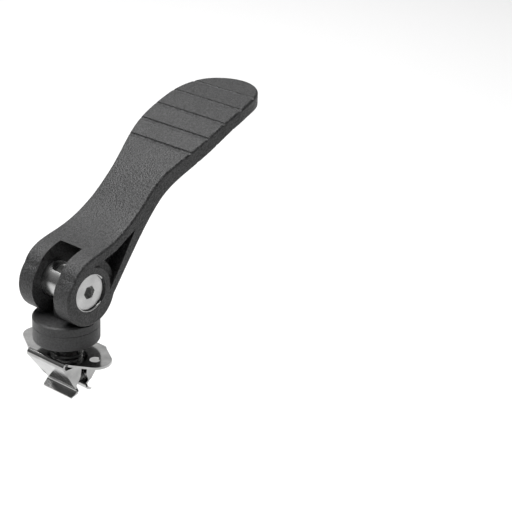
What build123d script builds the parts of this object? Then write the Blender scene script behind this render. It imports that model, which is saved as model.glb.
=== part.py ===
from build123d import *
import os
from math import cos, radians, sin

# ---- frame: origin on the stud axis, on the underside of the clip plate, +Z towards the lever ----
pivot_height = 23.4

# ---- lever: fork, cam eyes and thumb blade ----
fork_width = 22.6
slot_width = 9.5
slot_reach = 12.3
cam_radius = 10.1
cam_eccentricity = 1.25
cam_angle = -70.0
bore_radius = 6.06
bore_rim_chamfer = 0.22
blade_angle = 32.0
edge_round = 0.8
pocket_depth = 5.0
pocket_step_depth = 1.5
pocket_step_radius = 11.0
pocket_ring_radius = 8.3
groove_radius = 0.8
groove_depth = 0.45
inner_groove_depth = 0.6

# side profile of the blade, measured from the pivot axis, x forward and z up
outer_face = [
    (-6.94, 5.73),
    (-3.0, 9.95),
    (3.7, 12.2),
    (10.0, 13.8),
    (16.4, 16.6),
    (21.6, 19.9),
    (26.0, 23.5),
    (30.3, 27.2),
    (34.7, 30.5),
    (38.5, 32.9),
    (41.9, 34.9),
    (48.5, 38.4),
    (56.1, 41.6),
    (64.5, 44.2),
    (72.8, 45.8),
    (80.5, 46.3),
    (90.0, 46.0),
]
inner_face = [
    (88.0, 40.2),
    (82.0, 40.9),
    (76.0, 41.1),
    (68.9, 40.5),
    (61.0, 38.2),
    (53.4, 34.8),
    (46.0, 30.7),
    (39.0, 26.1),
    (30.9, 19.6),
    (24.2, 12.9),
    (18.0, 5.9),
    (12.5, -0.8),
    (8.2, -6.4),
]
# half width of the blade against distance along it
plan_half_width = [
    (2.0, 11.3),
    (16.0, 11.05),
    (23.0, 10.7),
    (29.0, 10.4),
    (35.0, 10.2),
    (40.0, 10.25),
    (45.5, 11.1),
    (50.0, 12.3),
    (54.5, 13.5),
    (61.0, 14.7),
    (69.0, 15.1),
    (76.0, 15.1),
    (83.0, 15.0),
    (100.0, 14.8),
]
# the rounded tip seen from straight above: half width against x
tip_half_width = [
    (56.0, 15.6),
    (61.0, 15.3),
    (65.0, 15.0),
    (69.0, 14.4),
    (73.0, 13.3),
    (76.8, 11.6),
    (80.0, 9.0),
    (82.4, 5.6),
    (83.6, 2.3),
    (83.85, 0.0),
]
outer_grooves = [(41.9, 34.9), (48.5, 38.4), (56.1, 41.6), (64.5, 44.2), (72.8, 45.8)]
inner_grooves = [(46.0, 30.7), (53.4, 34.8), (61.0, 38.2), (68.9, 40.5), (76.0, 41.1)]

# ---- pivot pin and its wire rings ----
pin_radius = 6.0
pin_length = 21.0
pin_chamfer = 0.35
socket_flats = 4.0
socket_depth = 2.0
seat_radius = 4.0
seat_height = 4.9
ring_wire_radius = 0.3
ring_position = 10.92
ring_centre_radius = 6.02
ring_groove_clearance = 0.03
ring_gap_angle = 80.0
ring_gap_centre = -5.0

# ---- draw stud ----
stud_radius = 3.0
stud_top = pivot_height + 4.5
shoulder_height = -7.1
tip_height = -14.6
tip_radius = 1.1
stud_fit = 0.02
stud_top_round = 0.9
stud_socket_flats = 2.5

# ---- two-part saddle between the cam and the clip ----
saddle_radius = 10.7
saddle_bottom = 4.4
seam_height = 9.4
land_height = 12.5
valley_height = 11.82
valley_radius = 16.0
saddle_chamfer = 0.5
seam_chamfer = 0.08
boss_radius = 4.0
boss_height = 15.7
stud_clearance_radius = 3.35
spring_pocket_radius = 6.6
spring_pocket_depth = 2.6

# ---- spring ----
spring_wire_radius = 0.45
spring_centre_radius = 4.75
spring_turns = 3.25

# ---- sheet clip ----
sheet = 0.8
plate_half_width = 8.2
plate_shoulder = 9.2
plate_end_radius = 5.2
plate_half_length = 18.0
rivet_hole_radius = 1.75
rivet_hole_offset = 12.7
plate_bore_radius = 3.6
fold_outside = 9.75
fold_round = 1.5
bend_round = 0.85
wing_half_width = 8.2
neck_outside = 2.1
stud_drop = 1.35
notch_clearance = 0.15
neck_half_width = 6.4
lip_half_width = 6.8

cam_centre = (
    cam_eccentricity * cos(radians(cam_angle)),
    cam_eccentricity * sin(radians(cam_angle)),
)
side_plane = Plane(origin=(0, 0, pivot_height), x_dir=(1, 0, 0), z_dir=(0, -1, 0))
plan_plane = Plane(
    origin=(0, 0, pivot_height),
    x_dir=(cos(radians(blade_angle)), 0, sin(radians(blade_angle))),
    z_dir=(-sin(radians(blade_angle)), 0, cos(radians(blade_angle))),
)

# ---------------------------------------------------------------- lever
with BuildPart() as lever_handle:
    with BuildSketch(side_plane):
        with BuildLine():
            top_edge = Spline(*outer_face)
            low_edge = Spline(*inner_face)
            Line(top_edge @ 1, low_edge @ 0)
            Line(low_edge @ 1, top_edge @ 0)
        make_face()
    extrude(amount=20, both=True)
    with BuildSketch(plan_plane):
        with BuildLine():
            near_edge = Spline(*[(u, -w) for u, w in plan_half_width])
            far_edge = Spline(*[(u, w) for u, w in plan_half_width])
            Line(near_edge @ 1, far_edge @ 1)
            Line(near_edge @ 0, (-14.0, -fork_width / 2))
            Line((-14.0, -fork_width / 2), (-14.0, fork_width / 2))
            Line((-14.0, fork_width / 2), far_edge @ 0)
        make_face()
    extrude(amount=90, both=True, mode=Mode.INTERSECT)
    with BuildSketch():
        with BuildLine():
            near_tip = [(x, -w) for x, w in tip_half_width]
            far_tip = [(x, w) for x, w in reversed(tip_half_width[:-1])]
            rounding = Spline(*near_tip, *far_tip)
            Line(rounding @ 0, (-14.0, -tip_half_width[0][1]))
            Line((-14.0, -tip_half_width[0][1]), (-14.0, tip_half_width[0][1]))
            Line((-14.0, tip_half_width[0][1]), rounding @ 1)
        make_face()
    extrude(amount=90, both=True, mode=Mode.INTERSECT)
    fillet(lever_handle.edges().filter_by(GeomType.LINE, reverse=True), radius=edge_round)
    # the cam eye, cut into two ears by the gap below
    with BuildPart(mode=Mode.PRIVATE) as eye:
        with Locations(side_plane * Pos(cam_centre[0], cam_centre[1], 0)):
            Cylinder(cam_radius, fork_width)
        fillet(eye.edges().filter_by(GeomType.CIRCLE), radius=edge_round)
    add(eye.part)
    # gap between the ears for the stud and the saddle boss
    with BuildSketch(side_plane):
        Circle(slot_reach)
    extrude(amount=slot_width / 2, both=True, mode=Mode.SUBTRACT)
    # bore for the pivot pin, with a chamfered rim and a groove for each wire ring
    with Locations(side_plane):
        Cylinder(bore_radius, fork_width + 2, mode=Mode.SUBTRACT)
    for side in (-1, 1):
        with Locations(side_plane.offset(side * fork_width / 2)):
            Torus(bore_radius, bore_rim_chamfer, mode=Mode.SUBTRACT)
        with Locations(side_plane.offset(side * ring_position)):
            Torus(
                ring_centre_radius,
                ring_wire_radius + ring_groove_clearance,
                mode=Mode.SUBTRACT,
            )
    # three-cornered lightening pocket in each flank, shallow round the eye and deep beyond it
    far_corner = (20.4, 15.0)
    low_corner = (pocket_ring_radius * cos(radians(-12)), pocket_ring_radius * sin(radians(-12)))
    mid_corner = (pocket_ring_radius * cos(radians(34)), pocket_ring_radius * sin(radians(34)))
    top_corner = (pocket_ring_radius * cos(radians(80)), pocket_ring_radius * sin(radians(80)))
    for side in (-1, 1):
        with BuildSketch(side_plane.offset(side * (fork_width / 2 + 1))) as pocket:
            with BuildLine():
                ThreePointArc(low_corner, mid_corner, top_corner)
                Line(top_corner, (11.5, 10.7))
                Line((11.5, 10.7), far_corner)
                Line(far_corner, low_corner)
            make_face()
        extrude(amount=-side * (pocket_step_depth + 1), mode=Mode.SUBTRACT)
        with BuildSketch(side_plane.offset(side * (fork_width / 2 + 1))):
            add(pocket.sketch_local)
            Circle(pocket_step_radius, mode=Mode.SUBTRACT)
        extrude(amount=-side * (pocket_depth + 1), mode=Mode.SUBTRACT)
    # cross grooves on both faces of the blade
    for x, z in outer_grooves:
        with Locations(side_plane * Pos(x, z + groove_radius - groove_depth, 0)):
            Cylinder(groove_radius, 60, mode=Mode.SUBTRACT)
    for x, z in inner_grooves:
        with Locations(side_plane * Pos(x, z - groove_radius + inner_groove_depth, 0)):
            Cylinder(groove_radius, 60, mode=Mode.SUBTRACT)

# ---------------------------------------------------------------- pivot pin and rings
with BuildPart() as pivot_pin:
    with Locations(side_plane):
        Cylinder(pin_radius, pin_length)
    chamfer(pivot_pin.edges().filter_by(GeomType.CIRCLE), length=pin_chamfer)
    for side in (-1, 1):
        with BuildSketch(side_plane.offset(side * pin_length / 2)):
            RegularPolygon(socket_flats / 2, 6, major_radius=False)
        extrude(amount=-side * socket_depth, mode=Mode.SUBTRACT)
    # flat seat and cross hole for the stud
    with BuildSketch(Plane.XY.offset(pivot_height + seat_height)):
        Circle(seat_radius)
    extrude(amount=4, mode=Mode.SUBTRACT)
    with BuildSketch(Plane.XY.offset(pivot_height - 8)):
        Circle(stud_radius + stud_fit)
    extrude(amount=16, mode=Mode.SUBTRACT)


def wire_ring(side):
    """Open wire ring that keeps the pin in one ear."""
    ring_plane = side_plane.offset(-side * ring_position)
    with BuildPart() as ring:
        with BuildLine(ring_plane):
            path = CenterArc(
                (0, 0), ring_centre_radius, ring_gap_centre + ring_gap_angle / 2, 360 - ring_gap_angle
            )
        with BuildSketch(Plane(origin=path @ 0, z_dir=path % 0)):
            Circle(ring_wire_radius)
        sweep(path=path)
    return ring.part


pin_ring_near = wire_ring(-1)
pin_ring_far = wire_ring(1)

# ---------------------------------------------------------------- stud
with BuildPart() as draw_stud:
    with BuildSketch(Plane.XZ):
        with BuildLine():
            Polyline(
                (0, tip_height),
                (tip_radius - 0.3, tip_height),
                (tip_radius, tip_height + 0.3),
                (stud_radius, shoulder_height),
                (stud_radius, stud_top),
                (0, stud_top),
                close=True,
            )
        make_face()
    revolve(axis=Axis.Z)
    fillet(draw_stud.edges().group_by(Axis.Z)[-1], radius=stud_top_round)
    with BuildSketch(Plane.XY.offset(stud_top)):
        RegularPolygon(stud_socket_flats / 2, 6, major_radius=False)
    extrude(amount=-2.4, mode=Mode.SUBTRACT)

# ---------------------------------------------------------------- saddle
with BuildPart() as cradle_washer:
    with BuildSketch(Plane.XY.offset(seam_height)):
        Circle(saddle_radius)
    extrude(amount=land_height - seam_height)
    chamfer(cradle_washer.edges().group_by(Axis.Z)[-1], length=saddle_chamfer)
    chamfer(cradle_washer.edges().group_by(Axis.Z)[0], length=seam_chamfer)
    with Locations(side_plane * Pos(0, valley_height + valley_radius - pivot_height, 0)):
        Cylinder(valley_radius, 40, mode=Mode.SUBTRACT)
    with BuildSketch(Plane.XY.offset(seam_height)):
        Circle(boss_radius)
    extrude(amount=boss_height - seam_height)
    chamfer(cradle_washer.edges().group_by(Axis.Z)[-1], length=0.25)
    with BuildSketch(Plane.XY.offset(seam_height)):
        Circle(stud_clearance_radius)
    extrude(amount=20, mode=Mode.SUBTRACT)

with BuildPart() as thrust_disc:
    with BuildSketch(Plane.XY.offset(saddle_bottom)):
        Circle(saddle_radius)
    extrude(amount=seam_height - saddle_bottom - 0.02)
    chamfer(thrust_disc.edges().group_by(Axis.Z)[-1], length=seam_chamfer)
    fillet(thrust_disc.edges().group_by(Axis.Z)[0], radius=0.4)
    with BuildSketch(Plane.XY.offset(saddle_bottom)):
        Circle(spring_pocket_radius)
    extrude(amount=spring_pocket_depth, mode=Mode.SUBTRACT)
    with BuildSketch(Plane.XY.offset(saddle_bottom)):
        Circle(stud_clearance_radius)
    extrude(amount=10, mode=Mode.SUBTRACT)

# ---------------------------------------------------------------- spring
spring_low = sheet + spring_wire_radius + 0.02
spring_high = saddle_bottom + spring_pocket_depth - spring_wire_radius - 0.15
with BuildPart() as return_spring:
    with BuildLine(Plane.XY.offset(spring_low)):
        coil = Helix(
            pitch=(spring_high - spring_low) / spring_turns,
            height=spring_high - spring_low,
            radius=spring_centre_radius,
        )
    with BuildSketch(Plane(origin=coil @ 0, z_dir=coil % 0)):
        Circle(spring_wire_radius)
    sweep(path=coil, is_frenet=True)

# ---------------------------------------------------------------- clip
with BuildPart() as spring_clip:
    with BuildSketch():
        with BuildLine():
            end_x = 4.35
            end_y = 15.65
            for side in (-1, 1):
                ThreePointArc(
                    (-end_x, side * end_y), (0, side * plate_half_length), (end_x, side * end_y)
                )
                Line((end_x, side * end_y), (plate_half_width, side * plate_shoulder))
                Line((-end_x, side * end_y), (-plate_half_width, side * plate_shoulder))
            for side in (-1, 1):
                Line(
                    (side * plate_half_width, -plate_shoulder),
                    (side * plate_half_width, plate_shoulder),
                )
        make_face()
        Circle(plate_bore_radius, mode=Mode.SUBTRACT)
        with Locations((0, -rivet_hole_offset), (0, rivet_hole_offset)):
            Circle(rivet_hole_radius, mode=Mode.SUBTRACT)
    extrude(amount=sheet)
    # the two folded wings, cut to their tapering outline
    with BuildPart(mode=Mode.PRIVATE) as wings:
        for side in (-1, 1):
            with BuildSketch(Plane.XZ):
                with BuildLine():
                    skin = FilletPolyline(
                        (side * 7.0, sheet),
                        (side * fold_outside, sheet),
                        (side * (fold_outside - 0.25), -1.2),
                        (side * 4.8, -8.0),
                        (side * neck_outside, -12.0),
                        (side * (neck_outside + 2.5), -13.6),
                        radius=[fold_round, bend_round, bend_round, bend_round],
                    )
                    offset(amount=sheet, side=Side.RIGHT if side > 0 else Side.LEFT)
                make_face()
            extrude(amount=wing_half_width, both=True)
        with BuildSketch(Plane.YZ):
            Polygon(
                (-wing_half_width, 2),
                (-wing_half_width, -1.4),
                (-neck_half_width - 0.6, -9.2),
                (-neck_half_width, -11.2),
                (-lip_half_width, -12.1),
                (-lip_half_width, -12.9),
                (-lip_half_width + 0.9, -14.5),
                (lip_half_width - 0.9, -14.5),
                (lip_half_width, -12.9),
                (lip_half_width, -12.1),
                (neck_half_width, -11.2),
                (neck_half_width + 0.6, -9.2),
                (wing_half_width, -1.4),
                (wing_half_width, 2),
                align=None,
            )
        extrude(amount=20, both=True, mode=Mode.INTERSECT)
    add(wings.part)
    # three-cornered stiffening flank at each end of each wing
    for end in (-1, 1):
        for side in (-1, 1):
            corner = Vector(side * 8.9, end * (wing_half_width - sheet / 2), -1.6)
            foot = Vector(side * 3.6, end * (neck_half_width + 0.5 - sheet / 2), -9.7)
            inward = Vector(-side, 0, 0)
            normal = inward.cross(foot - corner).normalized()
            flank_plane = Plane(origin=corner, x_dir=inward, z_dir=normal)
            drop = flank_plane.to_local_coords(foot)
            with BuildSketch(flank_plane):
                Polygon(
                    (0, 0),
                    (7.7, drop.Y * 0.04),
                    (7.6, drop.Y * 0.66),
                    (drop.X + 1.0, drop.Y),
                    (drop.X - 0.2, drop.Y),
                    align=None,
                )
            extrude(amount=sheet / 2, both=True)
    # the hooks are notched round the stud's cone, with room for it to drop
    with BuildSketch(Plane.XZ):
        Polygon(
            (0, tip_height - 3),
            (tip_radius + notch_clearance, tip_height - 3),
            (tip_radius + notch_clearance, tip_height - stud_drop),
            (stud_radius + notch_clearance, shoulder_height - stud_drop),
            (stud_radius + notch_clearance, 0),
            (0, 0),
            align=None,
        )
    revolve(axis=Axis.Z, mode=Mode.SUBTRACT)

lever_handle.part.label = "lever_handle"
pivot_pin.part.label = "pivot_pin"
pin_ring_near.label = "pin_ring_near"
pin_ring_far.label = "pin_ring_far"
draw_stud.part.label = "draw_stud"
cradle_washer.part.label = "cradle_washer"
thrust_disc.part.label = "thrust_disc"
return_spring.part.label = "return_spring"
spring_clip.part.label = "spring_clip"

os.makedirs("parts", exist_ok=True)
export_step(lever_handle.part, "parts/lever_handle.step")
export_step(pivot_pin.part, "parts/pivot_pin.step")
export_step(pin_ring_near, "parts/pin_ring_near.step")
export_step(pin_ring_far, "parts/pin_ring_far.step")
export_step(draw_stud.part, "parts/draw_stud.step")
export_step(cradle_washer.part, "parts/cradle_washer.step")
export_step(thrust_disc.part, "parts/thrust_disc.step")
export_step(return_spring.part, "parts/return_spring.step")
export_step(spring_clip.part, "parts/spring_clip.step")
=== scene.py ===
from math import radians
import bpy
from mathutils import Euler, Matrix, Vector


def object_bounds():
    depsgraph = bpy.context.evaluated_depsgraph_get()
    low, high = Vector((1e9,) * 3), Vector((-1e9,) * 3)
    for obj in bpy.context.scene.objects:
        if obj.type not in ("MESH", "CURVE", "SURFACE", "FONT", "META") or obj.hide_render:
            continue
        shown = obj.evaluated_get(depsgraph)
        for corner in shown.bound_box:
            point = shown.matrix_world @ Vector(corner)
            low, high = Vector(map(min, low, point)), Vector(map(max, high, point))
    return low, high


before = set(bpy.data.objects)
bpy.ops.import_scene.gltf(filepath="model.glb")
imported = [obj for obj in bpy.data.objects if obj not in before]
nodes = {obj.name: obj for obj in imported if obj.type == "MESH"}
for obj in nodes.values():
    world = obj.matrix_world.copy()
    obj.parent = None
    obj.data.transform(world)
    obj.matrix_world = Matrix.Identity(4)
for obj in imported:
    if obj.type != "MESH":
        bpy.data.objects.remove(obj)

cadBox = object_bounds()
pivotHeight = 0.0234  # cross pin axis above the clip plate's underside, metres


# node helpers shared by the finishes
def startMaterial(name):
    mat = bpy.data.materials.new(name)
    mat.use_nodes = True
    tree = mat.node_tree
    shader = tree.nodes["Principled BSDF"]
    coords = tree.nodes.new("ShaderNodeTexCoord")
    return mat, tree, shader, coords


def placed(tree, coords, centre=(0, 0, 0), scale=(1, 1, 1), turn=(0, 0, 0)):
    # pattern centred on a point of the object, then stretched
    move = tree.nodes.new("ShaderNodeMapping")
    move.vector_type = "TEXTURE"
    move.inputs["Location"].default_value = centre
    move.inputs["Rotation"].default_value = turn
    stretch = tree.nodes.new("ShaderNodeMapping")
    stretch.inputs["Scale"].default_value = scale
    tree.links.new(coords.outputs["Object"], move.inputs["Vector"])
    tree.links.new(move.outputs["Vector"], stretch.inputs["Vector"])
    return stretch.outputs["Vector"]


def noise(tree, vector, scale, detail=3.0, rough=0.55):
    tex = tree.nodes.new("ShaderNodeTexNoise")
    tex.inputs["Scale"].default_value = scale
    tex.inputs["Detail"].default_value = detail
    tex.inputs["Roughness"].default_value = rough
    tree.links.new(vector, tex.inputs["Vector"])
    return tex.outputs["Fac"]


def ramp(tree, factor, low, high, lowAt=0.3, highAt=0.7):
    node = tree.nodes.new("ShaderNodeValToRGB")
    node.color_ramp.elements[0].position = lowAt
    node.color_ramp.elements[1].position = highAt
    node.color_ramp.elements[0].color = (*low, 1)
    node.color_ramp.elements[1].color = (*high, 1)
    tree.links.new(factor, node.inputs["Fac"])
    return node.outputs["Color"]


def span(tree, factor, low, high, fromLow=0.3, fromHigh=0.7):
    node = tree.nodes.new("ShaderNodeMapRange")
    node.inputs["From Min"].default_value = fromLow
    node.inputs["From Max"].default_value = fromHigh
    node.inputs["To Min"].default_value = low
    node.inputs["To Max"].default_value = high
    tree.links.new(factor, node.inputs["Value"])
    return node.outputs["Result"]


def bump(tree, shader, height, distance, strength):
    node = tree.nodes.new("ShaderNodeBump")
    node.inputs["Strength"].default_value = strength
    node.inputs["Distance"].default_value = distance
    tree.links.new(height, node.inputs["Height"])
    tree.links.new(node.outputs["Normal"], shader.inputs["Normal"])


# moulded black plastic with a fine grain; grain and cloud are patterns per metre
leverFinish = dict(
    dark=(0.002, 0.002, 0.0021),
    light=(0.048, 0.048, 0.049),
    grain=1800,
    grainDepth=0.00038,
    cloud=90,
    gloss=0.47,
    ior=1.5,
)
saddleFinish = dict(
    leverFinish,
    dark=(0.016, 0.016, 0.0163),
    light=(0.040, 0.040, 0.041),
    grainDepth=0.00007,
    gloss=0.50,
)


def grainedPlastic(name, opts):
    mat, tree, shader, coords = startMaterial(name)
    vec = placed(tree, coords)
    fine = noise(tree, vec, opts["grain"], 2.0, 0.6)
    broad = noise(tree, vec, opts["cloud"], 3.0)
    tone = ramp(tree, fine, opts["dark"], opts["light"], 0.35, 0.68)
    tree.links.new(tone, shader.inputs["Base Color"])
    rough = span(tree, broad, opts["gloss"] - 0.04, opts["gloss"] + 0.05)
    tree.links.new(rough, shader.inputs["Roughness"])
    bump(tree, shader, fine, opts["grainDepth"], 0.8)
    shader.inputs["IOR"].default_value = opts["ior"]
    return mat


# turned and drawn steel; rings and cloud are patterns per metre
studFinish = dict(
    dark=(0.41, 0.41, 0.41),
    light=(0.55, 0.55, 0.545),
    gloss=0.30,
    rings=1700,
    ringDepth=0.000006,
    cloud=260,
)
# the barrel between the ears is smoother than the pin's ends
pinFinish = dict(studFinish, barrelEnd=0.0100, barrelFade=0.0004, barrelGloss=0.70)
wireFinish = dict(studFinish, gloss=0.22)


def turnedSteel(name, opts, centre=(0, 0, 0), turn=(0, 0, 0)):
    # rings of a lathe cut round the axis through centre
    mat, tree, shader, coords = startMaterial(name)
    vec = placed(tree, coords, centre, (1, 1, 1), turn)
    rings = tree.nodes.new("ShaderNodeTexWave")
    rings.wave_type = "RINGS"
    rings.rings_direction = "Z"
    rings.inputs["Scale"].default_value = opts["rings"]
    rings.inputs["Distortion"].default_value = 1.5
    rings.inputs["Detail"].default_value = 2.0
    tree.links.new(vec, rings.inputs["Vector"])
    cloud = noise(tree, vec, opts["cloud"], 3.0)
    tree.links.new(ramp(tree, cloud, opts["dark"], opts["light"]), shader.inputs["Base Color"])
    rough = span(tree, rings.outputs["Fac"], opts["gloss"] - 0.05, opts["gloss"] + 0.06, 0, 1)
    if "barrelEnd" in opts:
        split = tree.nodes.new("ShaderNodeSeparateXYZ")
        tree.links.new(vec, split.inputs["Vector"])
        along = tree.nodes.new("ShaderNodeMath")
        along.operation = "ABSOLUTE"
        tree.links.new(split.outputs["Z"], along.inputs[0])
        blend = tree.nodes.new("ShaderNodeMath")
        blend.operation = "MULTIPLY"
        fadeEnd = opts["barrelEnd"] + opts["barrelFade"]
        polish = span(tree, along.outputs["Value"], opts["barrelGloss"], 1.0, opts["barrelEnd"], fadeEnd)
        tree.links.new(polish, blend.inputs[0])
        tree.links.new(rough, blend.inputs[1])
        rough = blend.outputs["Value"]
    tree.links.new(rough, shader.inputs["Roughness"])
    bump(tree, shader, rings.outputs["Fac"], opts["ringDepth"], 0.5)
    shader.inputs["Metallic"].default_value = 1.0
    return mat


clipFinish = dict(
    dark=(0.31, 0.31, 0.307),
    light=(0.45, 0.45, 0.445),
    lines=5200,
    lineDepth=0.000006,
    stretch=0.04,
    cloud=220,
    smooth=0.10,
    rough=0.19,
)


def sheetSteel(name, opts):
    # bright rolled sheet, its fine lines drawn out by the stretch
    mat, tree, shader, coords = startMaterial(name)
    vec = placed(tree, coords, (0, 0, 0), (opts["stretch"], 1, opts["stretch"]))
    lines = noise(tree, vec, opts["lines"], 2.0)
    wide = placed(tree, coords)
    cloud = noise(tree, wide, opts["cloud"], 3.0)
    tree.links.new(ramp(tree, cloud, opts["dark"], opts["light"]), shader.inputs["Base Color"])
    tree.links.new(span(tree, lines, opts["smooth"], opts["rough"]), shader.inputs["Roughness"])
    bump(tree, shader, lines, opts["lineDepth"], 0.4)
    shader.inputs["Metallic"].default_value = 1.0
    return mat


def finish(nodeName, mat):
    obj = nodes[nodeName]
    if not obj.material_slots:
        obj.data.materials.append(mat)
    for place in obj.material_slots:
        place.material = mat


print("finishes")
leverBlack = grainedPlastic("grainedBlack", leverFinish)
saddleBlack = grainedPlastic("smoothBlack", saddleFinish)
pinSteel = turnedSteel("pinSteel", pinFinish, (0, 0, pivotHeight), (radians(90), 0, 0))
studSteel = turnedSteel("studSteel", studFinish)
wireSteel = turnedSteel("wireSteel", wireFinish)
clipSteel = sheetSteel("clipSteel", clipFinish)
finish("lever_handle", leverBlack)
finish("cradle_washer", saddleBlack)
finish("thrust_disc", saddleBlack)
finish("pivot_pin", pinSteel)
finish("draw_stud", studSteel)
finish("pin_ring_near", wireSteel)
finish("pin_ring_far", wireSteel)
finish("return_spring", wireSteel)
finish("spring_clip", clipSteel)

# floor, lamps, air and camera
print("studio")
studio = dict(
    floorDrop=0.110,  # below the lowest point of the part
    floorSize=8,
    floorTone=0.86,
    topPower=40,
    keyPower=0.07,
    backPower=0.60,
    airTop=0.27,
    airLow=0.08,
)


def softLight(name, place, size, power, aim=(0.03, 0, 0.03)):
    data = bpy.data.lights.new(name, "AREA")
    data.energy = power
    data.size = size
    lamp = bpy.data.objects.new(name, data)
    bpy.context.scene.collection.objects.link(lamp)
    lamp.location = place
    away = lamp.location - Vector(aim)
    lamp.rotation_euler = away.to_track_quat("Z", "Y").to_euler()


bpy.ops.mesh.primitive_plane_add(
    size=studio["floorSize"], location=(0, 0, cadBox[0][2] - studio["floorDrop"])
)
floor = bpy.context.object
floor.name = "floor"
floorMat, _, floorShader, _ = startMaterial("paleFloor")
floorShader.inputs["Base Color"].default_value = (*[studio["floorTone"]] * 3, 1)
floorShader.inputs["Roughness"].default_value = 0.9
floor.data.materials.append(floorMat)

softLight("topLight", (-0.30, 0.38, 1.52), 1.1, studio["topPower"])
softLight("backLight", (0.75, 0.62, 0.40), 0.6, studio["backPower"])
softLight("keyLight", (0.25, 0.45, 0.45), 0.35, studio["keyPower"])

# plain air: light overhead, dark round the horizon
world = bpy.data.worlds.new("studioAir")
bpy.context.scene.world = world
world.use_nodes = True
airTree = world.node_tree
airCoords = airTree.nodes.new("ShaderNodeTexCoord")
airSplit = airTree.nodes.new("ShaderNodeSeparateXYZ")
airTree.links.new(airCoords.outputs["Generated"], airSplit.inputs["Vector"])
airRamp = airTree.nodes.new("ShaderNodeMapRange")
airRamp.inputs["From Min"].default_value = 0.0
airRamp.inputs["From Max"].default_value = 0.7
airRamp.inputs["To Min"].default_value = studio["airLow"]
airRamp.inputs["To Max"].default_value = studio["airTop"]
airTree.links.new(airSplit.outputs["Z"], airRamp.inputs["Value"])
airTree.links.new(airRamp.outputs["Result"], airTree.nodes["Background"].inputs["Strength"])
airTree.nodes["Background"].inputs["Color"].default_value = (1, 1, 1, 1)

view = dict(
    lens=108.8,
    place=(-0.29867, -0.31914, 0.23422),
    turn=(65.257, -1.893, -49.979),  # degrees
)
lens = bpy.data.cameras.new("camera")
lens.lens = view["lens"]
lens.sensor_width = 36
lens.clip_start = 0.01
camera = bpy.data.objects.new("camera", lens)
bpy.context.scene.collection.objects.link(camera)
camera.location = view["place"]
camera.rotation_euler = Euler([radians(a) for a in view["turn"]], "XYZ")
bpy.context.scene.camera = camera
bpy.context.scene.view_settings.view_transform = "Standard"
